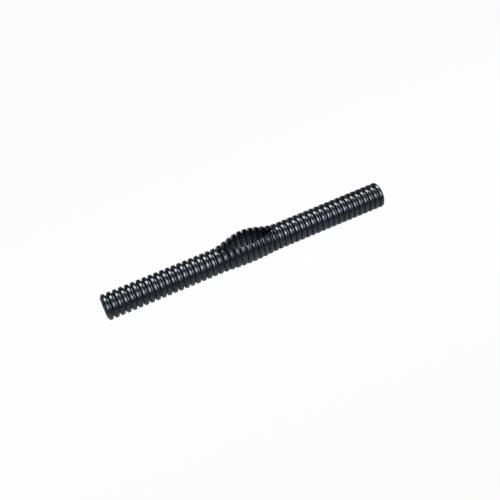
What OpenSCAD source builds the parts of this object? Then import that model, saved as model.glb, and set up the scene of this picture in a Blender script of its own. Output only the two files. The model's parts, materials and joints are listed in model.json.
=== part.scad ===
// Slit corrugated conduit, a cut length of black plastic wire loom.
// The tube lies along X with its slit on top, and z = 0 is the surface that it lies on.
// At the middle the slit is pried open: the two lips stand apart, as when a cable is laid in.
// Origin: middle of the length, on the centre plane, at the height of that surface.

/* [Tube] */
// Cut length of the conduit
length = 150; // [90:1:300]
// Outside diameter over the ribs
outer_d = 13; // [12:0.1:15]
// Clear bore inside the grooves
bore_d = 10; // [9:0.1:11]
// Thickness of the blown wall
wall = 0.3; // [0.2:0.05:0.4]

/* [Ribs] */
// Distance from one rib to the next
pitch = 3; // [2.8:0.1:3.6]
// Width of a rib outside, at half its height
rib_w = 2.15; // [2:0.05:2.25]
// Lean of a rib's flanks from upright, in degrees
flank_draft = 12; // [4:1:16]
// Inside rounding at the two shoulders of a rib
shoulder_round = 0.5; // [0.3:0.05:0.6]
// Outside rounding at the foot of a rib
foot_round = 0.2; // [0.1:0.05:0.3]

/* [Slit] */
// Width that the slitting blade leaves, at the outside
slit_w = 0.2; // [0.1:0.05:0.6]
// Ribs that are pried open, on each side of the middle
open_ribs = 6; // [4:1:8]
// How much the tube widens at the middle of the opening
open_spread = 3.9; // [2:0.1:4.5]

/* [Fineness] */
// Straight steps in each foot rounding of the closed stretches; a shoulder has one more
round_steps = 2; // [1:1:3]
// Sectors round the opened stretch: an odd number, so that a flat lies below and no corner
open_sectors = 21; // [15:2:23]

/* [Hidden] */
black_plastic = "#20252d";

crest_r = outer_d / 2;
foot_r = bore_d / 2 + wall;
rib_h = crest_r - foot_r;
half_slit_angle = asin(slit_w / 2 / crest_r);
// The corners of the swept wall stand outside its circle by as much as its flats cut inside it
corner_share = (1 + 1 / cos(180 / open_sectors)) / 2;
// Each lip of the swept stretch stands back from the turned lip that it meets, in degrees
lip_step = 0.15;
// Sides of the turned stretches where they are shown as a mesh
turned_sides = 48;
// Slack for rounding in a count of whole ribs
count_slack = 0.001;

// The shoulder's outside rounding leaves a flank at least this much height above its foot rounding
flank_left = 0.05;
shoulder_outer = min(shoulder_round + wall, (rib_h - flank_left) / (1 - sin(flank_draft)) - foot_round);

// Centres of the two roundings of a flank, from the middle of the rib and from the axis
shoulder_x = rib_w / 2 - flank_run(shoulder_outer);
shoulder_centre_r = crest_r - shoulder_outer;
foot_x = rib_w / 2 + flank_run(foot_round);
foot_centre_r = foot_r + foot_round;

// The opened stretch takes whole ribs, and so do the closed ones, up to a plain foot at each end
open_half = open_ribs * pitch;
closed_half = length / 2 - open_half;
closed_ribs = floor(closed_half / pitch + count_slack);

// Run along the axis from half height on a flank to the centre of a rounding of radius r
function flank_run(r) = r * cos(flank_draft) + (rib_h / 2 - r * (1 - sin(flank_draft))) * tan(flank_draft);

// Points [x, r] on an arc of radius r round [cx, cr], from one angle to another
function arc(cx, cr, r, from, to, steps) =
    [for (i = [0 : steps]) let (a = from + (to - from) * i / steps) [cx + r * cos(a), cr + r * sin(a)]];

// One rib of the wall's outer or inner face, from the foot before it to the foot after it.
// Both faces share their centres, so the wall keeps one thickness all along: inset is 0 or wall.
function rib(x, inset, steps) = concat(
    arc(x - foot_x, foot_centre_r, foot_round + inset, 270, 360 - flank_draft, steps),
    arc(x - shoulder_x, shoulder_centre_r, shoulder_outer - inset, 180 - flank_draft, 90, steps + 1),
    arc(x + shoulder_x, shoulder_centre_r, shoulder_outer - inset, 90, flank_draft, steps + 1),
    arc(x + foot_x, foot_centre_r, foot_round + inset, 180 + flank_draft, 270, steps));

// A face of the wall over some ribs, from x = from to x = to, where both ends are plain foot
function wave(from, to, ribs, inset, steps) = concat(
    [[from, foot_r - inset]],
    [for (i = [0 : ribs - 1]) each rib(from + (i + 0.5) * pitch, inset, steps)],
    [[to, foot_r - inset]]);

// How far the section is opened at x: 1 at the middle, easing to 0 at both ends of the stretch
function openness(x) = (1 + cos(180 * x / open_half)) / 2;

// Radius of the opened section over its ribs. Its arc keeps the closed section's length
function open_r(x) = crest_r + open_spread / 2 * openness(x);
function lip_angle(x) = (180 - half_slit_angle - lip_step) * crest_r / open_r(x);

// A point of the wall at x and radius r, at a share from -1 to 1 of the way from lip to lip.
// The section opens above its lowest line, which stays on the surface z = 0.
function open_point(x, r, share) =
    let (reach = (open_r(x) - crest_r + r) * corner_share, a = share * lip_angle(x))
    [x, reach * sin(a), open_r(x) - reach * cos(a)];

// Closed stretch, running outwards from the opening along +X: the wall's profile turned about X
module closed_stretch() {
    outer = wave(0, closed_half, closed_ribs, 0, round_steps);
    inner = wave(0, closed_half, closed_ribs, wall, round_steps);
    outline = concat(outer, [for (i = [len(inner) - 1 : -1 : 0]) inner[i]]);
    translate([open_half, 0, crest_r])
        rotate([0, 90, 0])
            rotate_extrude(start = 180 + half_slit_angle, angle = 360 - 2 * half_slit_angle, $fn = turned_sides)
                polygon([for (p = outline) [p[1], p[0]]]);
}

// Opened stretch: the same wall, swept along X through sections that open and close again
module opened_stretch() {
    outer = wave(-open_half, open_half, 2 * open_ribs, 0, 1);
    inner = wave(-open_half, open_half, 2 * open_ribs, wall, 1);
    rings = len(outer);
    side = open_sectors + 1;
    inside = rings * side;
    shares = [for (j = [0 : open_sectors]) 2 * j / open_sectors - 1];
    points = [for (face = [outer, inner], p = face, s = shares) open_point(p[0], p[1], s)];
    faces = concat(
        [for (i = [0 : rings - 2], j = [0 : open_sectors - 1]) each
            patch(i * side + j, i * side + j + 1, (i + 1) * side + j + 1, (i + 1) * side + j)],
        [for (i = [0 : rings - 2], j = [0 : open_sectors - 1]) let (k = inside + i * side + j) each
            patch(k, k + side, k + side + 1, k + 1)],
        [for (i = [0 : rings - 2], j = [0, open_sectors]) let (a = i * side + j, b = a + side) each
            j == 0 ? patch(a, b, inside + b, inside + a) : patch(a, inside + a, inside + b, b)],
        [for (j = [0 : open_sectors - 1], i = [0, rings - 1]) let (a = i * side + j, b = a + 1) each
            i == 0 ? patch(a, inside + a, inside + b, b) : patch(a, b, inside + b, inside + a)]);
    polyhedron(points, faces);
}

// Two triangles over the corners a, b, c, d, which go round anticlockwise as seen from outside
function patch(a, b, c, d) = [[c, b, a], [d, c, a]];

module conduit() {
    color(black_plastic)
        union() {
            opened_stretch();
            closed_stretch();
            mirror([1, 0, 0])
                closed_stretch();
        }
}

conduit();
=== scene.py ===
# %% [markdown]
# # A slit corrugated conduit
#
# Black plastic wire loom: a thin tube blown into ribs and slit along its length, so that a cable
# can be laid in from the side. Here the slit is pried open at the middle, and the two lips stand apart.
#
# The first step loads the engineering model as a fixed frame. Everything made here goes where that
# frame says, in metres, so nothing is fitted by eye.

# %% Load the frame
import json
import math

import bmesh
import bpy
import numpy as np
from mathutils import Matrix, Vector


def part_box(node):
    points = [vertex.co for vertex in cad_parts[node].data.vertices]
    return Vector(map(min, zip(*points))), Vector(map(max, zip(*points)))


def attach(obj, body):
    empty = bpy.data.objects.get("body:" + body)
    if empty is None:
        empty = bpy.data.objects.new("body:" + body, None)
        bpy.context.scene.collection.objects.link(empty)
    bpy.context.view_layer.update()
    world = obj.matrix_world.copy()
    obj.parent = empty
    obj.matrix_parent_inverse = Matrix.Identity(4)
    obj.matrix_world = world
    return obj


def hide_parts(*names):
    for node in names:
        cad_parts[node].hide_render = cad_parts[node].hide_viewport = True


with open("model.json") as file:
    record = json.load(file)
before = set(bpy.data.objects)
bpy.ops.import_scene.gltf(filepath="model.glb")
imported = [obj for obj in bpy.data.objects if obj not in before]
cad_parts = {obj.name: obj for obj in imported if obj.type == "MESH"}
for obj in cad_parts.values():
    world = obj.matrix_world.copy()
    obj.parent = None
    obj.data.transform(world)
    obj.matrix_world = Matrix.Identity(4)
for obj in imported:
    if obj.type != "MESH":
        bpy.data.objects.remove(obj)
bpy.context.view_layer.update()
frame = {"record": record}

# %% [markdown]
# ## The sizes of the tube
#
# The frame knows the overall ones: the length and the widest diameter are sides of the node's box,
# and the mount gives the bore and the height of the axis. What is left is the shape of one rib, the
# slit and how far the opening reaches, and these repeat the values that the solid was made from.

# %% Sizes from the frame
MM = 0.001
low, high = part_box("conduit")
bore = next(m for m in frame["record"]["mounts"] if m["name"] == "bore")

length = high[0] - low[0]
crest_r = bore["pos_m"][2]
bore_r = bore["dims"]["r_mm"] * MM
print("length", round(length, 4), "radius over the ribs", crest_r, "bore radius", bore_r)

# %% Sizes of one rib
pitch = 3.0 * MM
wall = 0.3 * MM
rib_w = 2.15 * MM
flank_draft = math.radians(12)
shoulder_r = 0.5 * MM + wall
foot_round = 0.2 * MM

foot_r = bore_r + wall
rib_h = crest_r - foot_r
rib_count = 2 * round(length / 2 / pitch)
print("ribs", rib_count, "of height", round(rib_h, 5))

# %% Sizes of the slit and its opening
slit_w = 0.2 * MM
open_half = 6 * pitch
open_spread = 3.9 * MM
half_slit = math.asin(slit_w / 2 / crest_r)
print("the opening is", round(2 * open_half, 4), "long")

# %% [markdown]
# ## The wave of the wall
#
# A blown wall has one thickness all along, so its outer and inner faces are parallel curves. A
# Solidify modifier could thicken one curve, but it only comes near the true thickness where the
# curve turns tightly. Here both are made of the same four roundings a rib, about the same centres:
# the outer face takes each radius as it is, and the inner face takes it less the wall at a shoulder
# and plus the wall at a foot. Equal counts of points let the cut edges close with strips of quads.

# %% One rib
SHOULDER_STEPS = 5
FOOT_STEPS = 2


def flank_run(radius):
    """Run along the axis from half height on a flank to the centre of a rounding of that radius."""
    rise = rib_h / 2 - radius * (1 - math.sin(flank_draft))
    return radius * math.cos(flank_draft) + rise * math.tan(flank_draft)


def arc(centre_x, centre_r, radius, start, stop, steps):
    """Points (x, r) = centre + radius * (cos a, sin a), for angles a from start to stop in degrees."""
    a = np.radians(np.linspace(start, stop, steps + 1))
    return np.stack([centre_x + radius * np.cos(a), centre_r + radius * np.sin(a)], axis=1)


def rib_points(inset):
    """One rib about x = 0: a foot, two shoulders and a foot, each an arc that ends on a flank."""
    shoulder_x = rib_w / 2 - flank_run(shoulder_r)
    foot_x = rib_w / 2 + flank_run(foot_round)
    shoulder = (crest_r - shoulder_r, shoulder_r - inset)
    foot = (foot_r + foot_round, foot_round + inset)
    draft = math.degrees(flank_draft)
    return np.concatenate([
        arc(-foot_x, *foot, 270, 360 - draft, FOOT_STEPS),
        arc(-shoulder_x, *shoulder, 180 - draft, 90, SHOULDER_STEPS),
        arc(shoulder_x, *shoulder, 90, draft, SHOULDER_STEPS),
        arc(foot_x, *foot, 180 + draft, 270, FOOT_STEPS),
    ])


print("points on one rib:", len(rib_points(0.0)))

# %% The whole wave


def wave(inset):
    """The face at that inset from end to end: the rib repeated at every pitch, and both cut ends."""
    middles = (np.arange(rib_count) - (rib_count - 1) / 2) * pitch
    shift = np.stack([middles, np.zeros(rib_count)], axis=1)
    ribs = rib_points(inset)[None, :, :] + shift[:, None, :]
    ends = np.array([[-length / 2, foot_r - inset], [length / 2, foot_r - inset]])
    return np.concatenate([ends[:1], ribs.reshape(-1, 2), ends[1:]])


outer_wave = wave(0.0)
inner_wave = wave(wall)
print("points along each face:", len(outer_wave))

# %% [markdown]
# ## The opening
#
# Prying the slit apart bends the wall but doesn't stretch it. A lattice could pull a straight tube
# open, but it would stretch the ribs as it went. So the opening is part of the formula: each section
# stays an arc of the same length with a larger radius, and its lowest line stays on the table. The
# radius grows by a raised cosine: not at all at both ends of the opening, and most at its middle.

# %% The section at x
SECTORS = 54


def openness(x):
    """(1 + cos(pi x / open_half)) / 2 inside the opening, and 0 outside it."""
    share = np.clip(np.abs(x) / open_half, 0, 1)
    return (1 + np.cos(math.pi * share)) / 2


def wall_grid(points):
    """Points (x, r) swept round the section: angle a runs lip to lip, counted from straight down.
    y = reach * sin(a) and z = radius - reach * cos(a), where reach is the radius less the depth."""
    x = points[:, 0][:, None]
    radius = crest_r + open_spread / 2 * openness(x)
    reach = radius - crest_r + points[:, 1][:, None]
    lip = (math.pi - half_slit) * crest_r / radius
    a = lip * np.linspace(-1, 1, SECTORS + 1)[None, :]
    return np.stack([x + 0 * a, reach * np.sin(a), radius - reach * np.cos(a)], axis=2)


outer = wall_grid(outer_wave)
inner = wall_grid(inner_wave)
print("grid:", outer.shape[0], "rings of", outer.shape[1], "points on each face")

# %% [markdown]
# ## One closed skin
#
# The outer and inner faces are two grids of the same size. Four strips close them: one along each
# lip of the slit and one round each cut end. A knife leaves a sharp edge there, while the blown
# ribs shade smoothly. Filling the holes by hand would close them too, but strips that reuse the
# grids' own points leave no seam to merge.

# %% Meshes from arrays


def grid_quads(index):
    """Quads over a 2-D array of vertex numbers: quad (i, j) joins corners (i, j), (i, j+1),
    (i+1, j+1) and (i+1, j). With rows along +X, and each row round from the lip at -Y, by way of
    below, to the lip at +Y, the faces point outwards."""
    corners = [index[:-1, :-1], index[:-1, 1:], index[1:, 1:], index[1:, :-1]]
    return np.stack(corners, axis=2).reshape(-1, 4)


def mesh_object(name, vertices, quads):
    """A mesh object from an array of vertices and one of quads."""
    mesh = bpy.data.meshes.new(name)
    mesh.vertices.add(len(vertices))
    mesh.vertices.foreach_set("co", np.ascontiguousarray(vertices, dtype=np.float32).ravel())
    mesh.loops.add(quads.size)
    mesh.loops.foreach_set("vertex_index", np.ascontiguousarray(quads, dtype=np.int32).ravel())
    mesh.polygons.add(len(quads))
    mesh.polygons.foreach_set("loop_start", np.arange(0, quads.size, 4, dtype=np.int32))
    mesh.polygons.foreach_set("loop_total", np.full(len(quads), 4, dtype=np.int32))
    mesh.update(calc_edges=True)
    mesh.validate()
    obj = bpy.data.objects.new(name, mesh)
    bpy.context.scene.collection.objects.link(obj)
    return obj


print("one quad joins corners", grid_quads(np.arange(4).reshape(2, 2))[0])

# %% Build the conduit
rows, columns = outer.shape[:2]
outer_index = np.arange(rows * columns).reshape(rows, columns)
inner_index = outer_index + rows * columns

faces = [
    grid_quads(outer_index),
    grid_quads(inner_index)[:, ::-1],
    grid_quads(np.stack([inner_index[:, 0], outer_index[:, 0]], axis=1)),
    grid_quads(np.stack([outer_index[:, -1], inner_index[:, -1]], axis=1)),
    grid_quads(np.stack([inner_index[0], outer_index[0]], axis=0)),
    grid_quads(np.stack([outer_index[-1], inner_index[-1]], axis=0)),
]
vertices = np.concatenate([outer.reshape(-1, 3), inner.reshape(-1, 3)])
conduit = mesh_object("conduit_wall", vertices, np.concatenate(faces))
print("triangles:", 2 * sum(len(part) for part in faces))

# %% Check that the skin is closed and faces outwards
check = bmesh.new()
check.from_mesh(conduit.data)
open_edges = sum(1 for painted_shade_share in check.edges if len(painted_shade_share.link_faces) != 2)
twisted = sum(1 for painted_shade_share in check.edges if not painted_shade_share.is_contiguous)
volume = check.calc_volume(signed=True)
check.free()
print("open edges", open_edges, "twisted edges", twisted, "volume in mm3", round(volume * 1e9, 1))

# %% Smooth ribs, sharp cuts
SHARP_ANGLE = math.radians(50)
face_counts = np.array([len(part) for part in faces])
smooth = np.repeat([True, True, False, False, False, False], face_counts)
conduit.data.polygons.foreach_set("use_smooth", smooth)
conduit.data.set_sharp_from_angle(angle=SHARP_ANGLE)
print("smooth faces:", int(smooth.sum()), "flat faces:", int((~smooth).sum()))

# %% [markdown]
# ## Marks for the finish
#
# A finish that follows the shape needs to know where it is on the shape. Three numbers are stored on
# every point of the mesh, and the material reads them back: how far the point is through the wall,
# how far it is up a rib, and how far it is round the section. This could be painted by hand, but the
# grids already hold these numbers, so they are exact and cost nothing.

# %% Store the marks


def mark(name, values):
    """Keep one number for each point of the conduit, under that name."""
    attribute = conduit.data.attributes.new(name, "FLOAT", "POINT")
    attribute.data.foreach_set("value", np.ascontiguousarray(values, dtype=np.float32).ravel())
    print("mark", name, "from", round(float(values.min()), 3), "to", round(float(values.max()), 3))


climb = np.clip((outer_wave[:, 1] - foot_r) / rib_h, 0, 1)
around = math.pi * np.linspace(-1, 1, SECTORS + 1)
both_faces = np.ones((2, rows, columns))
mark("depth", both_faces * np.array([0.0, 1.0])[:, None, None])
mark("climb", both_faces * climb[None, :, None])
mark("around", both_faces * around[None, None, :])

# %% [markdown]
# ## Black plastic
#
# The tube is blown against a polished mould, so its outside is glossy, and the crests take the most
# polish and also the most rubbing. The inside never touches the mould: it is satin. A knife leaves
# the cut edges dull and a little greyer. The mould has two halves, and a faint line shows on every
# rib where they met.
#
# All of this is one Principled shader. Its colour, roughness and bump are mixed from noise on Object
# coordinates, which are metres here, and from the three marks. A picture of plastic could do the
# same, but it would stretch over the ribs, and the marks don't.

# %% Helpers for nodes


def node(tree, kind, x, y, **values):
    """A shader node of that kind, placed at x, y, with its settings."""
    made = tree.nodes.new(kind)
    made.location = (x, y)
    for key, value in values.items():
        setattr(made, key, value)
    return made


def spread(tree, x, y, source, low_in, high_in, low_out, high_out):
    """The source, stretched from the range low_in..high_in to low_out..high_out and held there."""
    made = node(tree, "ShaderNodeMapRange", x, y)
    for key, value in zip(("From Min", "From Max", "To Min", "To Max"), (low_in, high_in, low_out, high_out)):
        made.inputs[key].default_value = value
    tree.links.new(source, made.inputs["Value"])
    return made.outputs["Result"]


def arithmetic(tree, x, y, operation, first, second=None):
    """One Math node on a socket and a second socket or number."""
    made = node(tree, "ShaderNodeMath", x, y, operation=operation)
    tree.links.new(first, made.inputs[0])
    if isinstance(second, (int, float)):
        made.inputs[1].default_value = second
    elif second is not None:
        tree.links.new(second, made.inputs[1])
    return made.outputs[0]


def blended(tree, x, y, kind, share, first, second):
    """first where share is 0 and second where it is 1; each may be a socket or a plain value."""
    made = node(tree, "ShaderNodeMix", x, y, data_type=kind)
    suffix = {"FLOAT": "Float", "RGBA": "Color"}[kind]
    socket = {item.identifier: item for item in made.inputs}
    tree.links.new(share, socket["Factor_Float"])
    for key, value in (("A_" + suffix, first), ("B_" + suffix, second)):
        if isinstance(value, bpy.types.NodeSocket):
            tree.links.new(value, socket[key])
        else:
            socket[key].default_value = value
    return {item.identifier: item for item in made.outputs}["Result_" + suffix]


def noise(tree, x, y, coords, scale, detail):
    """Noise with that many lumps to the metre."""
    made = node(tree, "ShaderNodeTexNoise", x, y)
    made.inputs["Scale"].default_value = scale
    made.inputs["Detail"].default_value = detail
    tree.links.new(coords, made.inputs["Vector"])
    return made.outputs["Fac"]


def bump(tree, x, y, height, distance, under=None):
    """A Bump node whose height of 1 stands for that distance in metres."""
    made = node(tree, "ShaderNodeBump", x, y)
    made.inputs["Distance"].default_value = distance
    tree.links.new(height, made.inputs["Height"])
    if under is not None:
        tree.links.new(under, made.inputs["Normal"])
    return made.outputs["Normal"]


print("helpers:", ", ".join(helper.__name__ for helper in (node, spread, arithmetic, blended, noise, bump)))

# %% Noise over the plastic
CLOUDS_PER_M = 220.0
RIPPLES_PER_M = 750.0
GRAINS_PER_M = 9000.0


def plastic_noise(tree):
    """Clouds for wear and mottling, ripples of the blown wall and the grain of the mould."""
    coords = node(tree, "ShaderNodeTexCoord", -1600, 0).outputs["Object"]
    return {
        "cloud": noise(tree, -1300, 300, coords, CLOUDS_PER_M, 4.0),
        "ripple": noise(tree, -1300, 100, coords, RIPPLES_PER_M, 2.0),
        "grain": noise(tree, -1300, -100, coords, GRAINS_PER_M, 2.0),
    }


print("a ripple is about", round(1 / RIPPLES_PER_M / MM, 2), "mm wide")

# %% Crests and their scuffs
CREST_STARTS = 0.74
CREST_FULL = 0.96
SCUFF_STARTS = 0.55
SCUFF_FULL = 0.75
SCUFF_MOST = 0.6


def crest_masks(tree, cloud):
    """1 on the crests and 0 in the grooves, by climb, and that times the thickest clouds."""
    climb = node(tree, "ShaderNodeAttribute", -1600, -500, attribute_name="climb").outputs["Fac"]
    crest = spread(tree, -1300, -500, climb, CREST_STARTS, CREST_FULL, 0.0, 1.0)
    patches = spread(tree, -1100, -400, cloud, SCUFF_STARTS, SCUFF_FULL, 0.0, SCUFF_MOST)
    return {"crest": crest, "scuff": arithmetic(tree, -900, -400, "MULTIPLY", crest, patches)}


print("crests start at", CREST_STARTS, "of the way up a rib")

# %% Inside and cut edges
INSIDE_STARTS = 0.75
CUT_FULL = 0.40
CUT_ENDS = 0.49


def wall_masks(tree):
    """1 inside, where depth is near 1, and 1 on a cut, where |depth - 0.5| is below CUT_FULL."""
    depth = node(tree, "ShaderNodeAttribute", -1600, -300, attribute_name="depth").outputs["Fac"]
    off_middle = arithmetic(tree, -1450, -900, "SUBTRACT", depth, 0.5)
    through = arithmetic(tree, -1300, -900, "ABSOLUTE", off_middle)
    return {
        "inside": spread(tree, -1300, -300, depth, INSIDE_STARTS, 1.0, 0.0, 1.0),
        "cut": spread(tree, -1100, -900, through, CUT_FULL, CUT_ENDS, 1.0, 0.0),
    }


print("a cut covers", round(200 * CUT_FULL), "percent of the wall's thickness")

# %% Parting lines of the mould
PARTING_HALF_WIDTH = 0.010
PARTING_FADES = 0.022


def parting_mask(tree):
    """1 on both sides of the tube, where ||around| - pi / 2| is below PARTING_HALF_WIDTH."""
    around = node(tree, "ShaderNodeAttribute", -1600, -700, attribute_name="around").outputs["Fac"]
    from_below = arithmetic(tree, -1450, -700, "ABSOLUTE", around)
    off_side = arithmetic(tree, -1300, -700, "SUBTRACT", from_below, math.pi / 2)
    off_line = arithmetic(tree, -1200, -700, "ABSOLUTE", off_side)
    return spread(tree, -1100, -700, off_line, PARTING_HALF_WIDTH, PARTING_FADES, 1.0, 0.0)


print("a parting line is", round(2 * PARTING_HALF_WIDTH * crest_r / MM, 2), "mm wide")

# %% Colour, linear and opaque
PIGMENT_DARK = (0.0010, 0.0036, 0.0098, 1)
PIGMENT_LIGHT = (0.0024, 0.0062, 0.0140, 1)
SCUFFED = (0.0110, 0.0140, 0.0190, 1)
CUT = (0.0160, 0.0190, 0.0240, 1)


def plastic_colour(tree, at):
    """Pigment mottled by the clouds, greyer where a crest is scuffed and greyest on the cuts."""
    pigment = blended(tree, -700, 300, "RGBA", at["cloud"], PIGMENT_DARK, PIGMENT_LIGHT)
    rubbed = blended(tree, -500, 300, "RGBA", at["scuff"], pigment, SCUFFED)
    return blended(tree, -300, 300, "RGBA", at["cut"], rubbed, CUT)


print("pigment from", PIGMENT_DARK[:3], "to", PIGMENT_LIGHT[:3])

# %% Roughness, from a mirror at 0 to chalk at 1
POLISHED_LEAST = 0.19
POLISHED_MOST = 0.24
GROOVE_ROUGH = 0.30
WORN_ROUGH = 0.42
SATIN_ROUGH = 0.46
CUT_ROUGH = 0.62


def plastic_roughness(tree, at):
    """Polish that follows the ripples on the crests, then grooves, scuffs, the inside and cuts."""
    polish = spread(tree, -700, 0, at["ripple"], 0.3, 0.7, POLISHED_LEAST, POLISHED_MOST)
    moulded = blended(tree, -600, 0, "FLOAT", at["crest"], GROOVE_ROUGH, polish)
    worn = blended(tree, -500, 0, "FLOAT", at["scuff"], moulded, WORN_ROUGH)
    satin = blended(tree, -400, 0, "FLOAT", at["inside"], worn, SATIN_ROUGH)
    return blended(tree, -300, 0, "FLOAT", at["cut"], satin, CUT_ROUGH)


print("roughness on the crests", POLISHED_LEAST, "to", POLISHED_MOST, "and in the grooves", GROOVE_ROUGH)

# %% Relief in metres
RIPPLE_HEIGHT = 0.007 * MM
GRAIN_HEIGHT = 0.0012 * MM
PARTING_HEIGHT = 0.04 * MM


def plastic_relief(tree, at):
    """Ripples, grain on top of them, and the parting lines where they cross a crest."""
    waves = bump(tree, -700, -300, at["ripple"], RIPPLE_HEIGHT)
    grained = bump(tree, -500, -300, at["grain"], GRAIN_HEIGHT, waves)
    ridge = arithmetic(tree, -500, -600, "MULTIPLY", at["parting"], at["crest"])
    return bump(tree, -300, -300, ridge, PARTING_HEIGHT, grained)


print("ripples are", round(RIPPLE_HEIGHT / MM, 4), "mm high, parting lines", round(PARTING_HEIGHT / MM, 4))

# %% The finish
PLASTIC_IOR = 1.5


def black_plastic():
    """Blown black polypropylene: glossy ribs, duller grooves, satin inside and dull cut edges."""
    material = bpy.data.materials.new("black_plastic")
    material.use_nodes = True
    tree = material.node_tree
    tree.nodes.clear()
    at = plastic_noise(tree)
    at.update(crest_masks(tree, at["cloud"]))
    at.update(wall_masks(tree))
    at["parting"] = parting_mask(tree)
    shader = node(tree, "ShaderNodeBsdfPrincipled", 0, 0)
    shader.inputs["IOR"].default_value = PLASTIC_IOR
    tree.links.new(plastic_colour(tree, at), shader.inputs["Base Color"])
    tree.links.new(plastic_roughness(tree, at), shader.inputs["Roughness"])
    tree.links.new(plastic_relief(tree, at), shader.inputs["Normal"])
    out = node(tree, "ShaderNodeOutputMaterial", 300, 0)
    tree.links.new(shader.outputs["BSDF"], out.inputs["Surface"])
    print("black plastic:", len(tree.nodes), "nodes")
    return material


# %% Dress the conduit
conduit.data.materials.append(black_plastic())
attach(conduit, "root")
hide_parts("conduit")
print("the conduit wears", conduit.data.materials[0].name)

# %% [markdown]
# ## A white table that keeps a shadow
#
# A small black thing is best shown on white paper. Paper that is only lit comes out a little grey,
# and more light would wash out the plastic. So the floor is two materials in one: what the camera
# sees is mostly a white glow, with a little lit paper under it that keeps the shadow, and every
# other ray meets lit paper. That paper has painted shade: its colour is painted darker away from the
# conduit, because gloss mirrors the far floor on every rib, and a bright one would turn the black
# plastic grey. The room behind it is white in the same way: for the camera alone, while it lights the conduit
# as a dim blue one.

# %% Floor
FLOOR_HALF = 4.0
GLOW_SHARE = 0.96
PAPER_NEAR = (0.88, 0.88, 0.88, 1)
# The far paper colour is painted shade: the floor is coloured darker away from the conduit, so that the ribs
# mirror a dim far floor.
PAPER_FAR_PAINTED_SHADE = (0.25, 0.25, 0.25, 1)
NEAR_ENDS = 0.02
FAR_STARTS = 0.12


def floor_plane(half):
    """A square floor of four corners at the height that the conduit lies on."""
    corners = half * np.array([[-1, -1, 0], [1, -1, 0], [1, 1, 0], [-1, 1, 0]])
    return mesh_object("floor", corners, np.array([[0, 1, 2, 3]]))


def white_paper_with_painted_shade(glow_share):
    """Lit paper, mixed with a white glow by that share for the camera alone. The paper's colour
    goes from PAPER_NEAR, as |y| grows from NEAR_ENDS to FAR_STARTS, to a far colour of painted shade, so that
    the far floor that every rib mirrors is dim."""
    material = bpy.data.materials.new("white_paper_with_painted_shade")
    material.use_nodes = True
    tree = material.node_tree
    tree.nodes.clear()
    coords = node(tree, "ShaderNodeTexCoord", -900, 0).outputs["Object"]
    split = node(tree, "ShaderNodeSeparateXYZ", -750, 0)
    tree.links.new(coords, split.inputs["Vector"])
    away = arithmetic(tree, -600, 0, "ABSOLUTE", split.outputs["Y"])
    # Painted shade: the paper's colour darkens as |y| grows from NEAR_ENDS to FAR_STARTS.
    painted_shade_share = spread(tree, -400, 0, away, NEAR_ENDS, FAR_STARTS, 0.0, 1.0)
    paper = node(tree, "ShaderNodeBsdfDiffuse", 0, 0)
    paper_with_painted_shade = blended(tree, -200, 0, "RGBA", painted_shade_share, PAPER_NEAR, PAPER_FAR_PAINTED_SHADE)
    tree.links.new(paper_with_painted_shade, paper.inputs["Color"])
    glow = node(tree, "ShaderNodeEmission", 0, -150)
    glow.inputs["Color"].default_value = (1, 1, 1, 1)
    path = node(tree, "ShaderNodeLightPath", -200, 300)
    share = arithmetic(tree, 0, 200, "MULTIPLY", path.outputs["Is Camera Ray"], glow_share)
    mix = node(tree, "ShaderNodeMixShader", 200, 0)
    tree.links.new(share, mix.inputs["Fac"])
    tree.links.new(paper.outputs["BSDF"], mix.inputs[1])
    tree.links.new(glow.outputs["Emission"], mix.inputs[2])
    out = node(tree, "ShaderNodeOutputMaterial", 400, 0)
    tree.links.new(mix.outputs["Shader"], out.inputs["Surface"])
    return material


floor = floor_plane(FLOOR_HALF)
floor.data.materials.append(white_paper_with_painted_shade(GLOW_SHARE))
print("floor half width in metres:", FLOOR_HALF)

# %% Room
ROOM_BLUE = (0.60, 0.80, 1.0, 1)
ROOM_STRENGTH = 0.05


def white_room(colour, strength):
    """A world that lights with that colour and strength, and is white where the camera sees it."""
    world = bpy.data.worlds.new("white_room")
    world.use_nodes = True
    tree = world.node_tree
    tree.nodes.clear()
    room = node(tree, "ShaderNodeBackground", 0, 0)
    room.inputs["Color"].default_value = colour
    room.inputs["Strength"].default_value = strength
    white = node(tree, "ShaderNodeBackground", 0, -150)
    white.inputs["Color"].default_value = (1, 1, 1, 1)
    path = node(tree, "ShaderNodeLightPath", 0, 300)
    mix = node(tree, "ShaderNodeMixShader", 200, 0)
    tree.links.new(path.outputs["Is Camera Ray"], mix.inputs["Fac"])
    tree.links.new(room.outputs["Background"], mix.inputs[1])
    tree.links.new(white.outputs["Background"], mix.inputs[2])
    out = node(tree, "ShaderNodeOutputWorld", 400, 0)
    tree.links.new(mix.outputs["Shader"], out.inputs["Surface"])
    return world


bpy.context.scene.world = white_room(ROOM_BLUE, ROOM_STRENGTH)
print("world:", bpy.context.scene.world.name)

# %% [markdown]
# ## The lamps
#
# Black glossy plastic has almost no colour of its own: what the eye reads as ribs is the mirror
# picture of the lamps, one small bright dot on every crest for each lamp. So there are two kinds of
# lamp. Plain ones light every colour at about the level at which it is written. Glint lamps are seen
# in reflections alone, so the dots can be as bright as on the real thing while paper and plastic
# stay at that level. A long glint behind the conduit gives the upper row of dots. A long one in
# front, whose left half is brighter, gives the lower row. A third fills the gap between the rows at
# the left, and a small one lights the ribs below the opening.

# %% The shape of a lamp
NEUTRAL = (0.95, 0.975, 1.0)
COOL = (0.86, 0.91, 1.0)
LAMP_DISTANCE = 0.6


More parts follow.
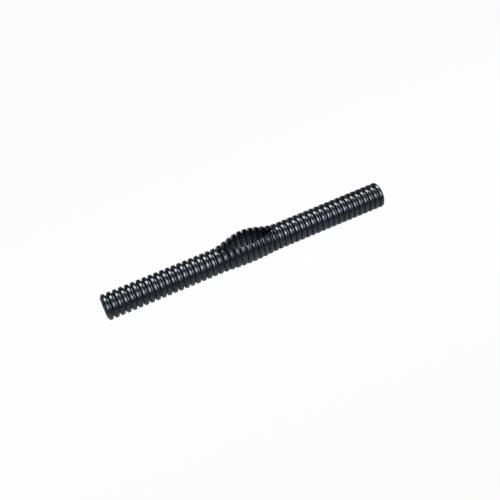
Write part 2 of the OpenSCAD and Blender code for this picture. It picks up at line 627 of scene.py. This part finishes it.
def softbox(name, lean, half_angle, left, right, radiance, matte=True, gloss=True):
    """A rectangular lamp that faces the conduit from LAMP_DISTANCE.

    lean is the angle of its middle from straight up, towards +Y, and it spans half_angle to each
    side of that, both in degrees. It reaches from left to right along X. Its power is
    radiance * pi * area. It lights colours if matte, and is seen in reflections if gloss."""
    width = right - left
    depth = 2 * LAMP_DISTANCE * math.tan(math.radians(half_angle))
    lamp = bpy.data.lights.new(name, "AREA")
    lamp.shape = "RECTANGLE"
    lamp.size = width
    lamp.size_y = depth
    lamp.energy = radiance * math.pi * width * depth
    lamp.color = NEUTRAL if matte else COOL
    holder = bpy.data.objects.new(name, lamp)
    bpy.context.scene.collection.objects.link(holder)
    holder.visible_camera = False
    holder.visible_diffuse = matte
    holder.visible_glossy = gloss
    lean = math.radians(lean)
    along = Vector((1, 0, 0))
    across = Vector((0, math.cos(lean), -math.sin(lean)))
    away = Vector((0, math.sin(lean), math.cos(lean)))
    place = Vector(((left + right) / 2, 0, crest_r)) + LAMP_DISTANCE * away
    turn = Matrix((along, across, away)).transposed()
    holder.matrix_world = Matrix.Translation(place) @ turn.to_4x4()
    print(name, "power in watts", round(lamp.energy, 2))


# %% Plain light
softbox("near_softbox", -45, 14, -0.10, 0.40, 6.0)
softbox("top_softbox", -8, 22, -0.30, 0.45, 0.55)
softbox("fill", 5, 30, -0.45, 0.45, 0.98, gloss=False)

# %% Glints
softbox("far_glint", 29, 14, -0.12, 0.40, 20.0, matte=False)
softbox("near_glint_left", -45, 14, -0.12, 0.14, 24.0, matte=False)
softbox("near_glint_right", -45, 14, 0.14, 0.40, 17.0, matte=False)
softbox("left_glint", -8, 22, -0.30, 0.10, 3.4, matte=False)
softbox("open_glint", -37, 9, 0.11, 0.17, 50.0, matte=False)

# %% [markdown]
# ## The camera
#
# It looks down at a little over 47 degrees, from the left of square, and it is rolled so that the
# conduit climbs across the frame. It could be placed by hand in the viewport, but a view is easiest
# to state, and to change, by its angles and its distance. The camera's three axes follow from them.

# %% Camera
SENSOR_MM = 36.0
NEAREST = 0.01
lens_mm = 57.9
distance = 0.3955
pitch_down = math.radians(47.09)
turn_side = math.radians(19.18)
roll = math.radians(8.26)
aim_right = 1.35 * MM
aim_up = -0.63 * MM

look = Vector((math.cos(pitch_down) * math.sin(turn_side), math.cos(pitch_down) * math.cos(turn_side),
               -math.sin(pitch_down)))
level = look.cross(Vector((0, 0, 1))).normalized()
upright = level.cross(look)
right = level * math.cos(roll) - upright * math.sin(roll)
up = level * math.sin(roll) + upright * math.cos(roll)
middle = Vector((0, 0, crest_r))
place = middle - distance * look
aim = middle + aim_right * right + aim_up * up
look = (aim - place).normalized()
right = look.cross(up).normalized()
up = right.cross(look)

eye = bpy.data.cameras.new("camera")
eye.sensor_width = SENSOR_MM
eye.lens = lens_mm
eye.clip_start = NEAREST
camera = bpy.data.objects.new("camera", eye)
bpy.context.scene.collection.objects.link(camera)
camera.matrix_world = Matrix.Translation(place) @ Matrix((right, up, -look)).transposed().to_4x4()
bpy.context.scene.camera = camera
print("camera at", [round(c, 4) for c in place])

# %% [markdown]
# ## Finish
#
# Colours go out plainly, without a film look.

# %% Finish
scene = bpy.context.scene
scene.view_settings.view_transform = "Standard"
print("colours go out by the", scene.view_settings.view_transform, "transform")
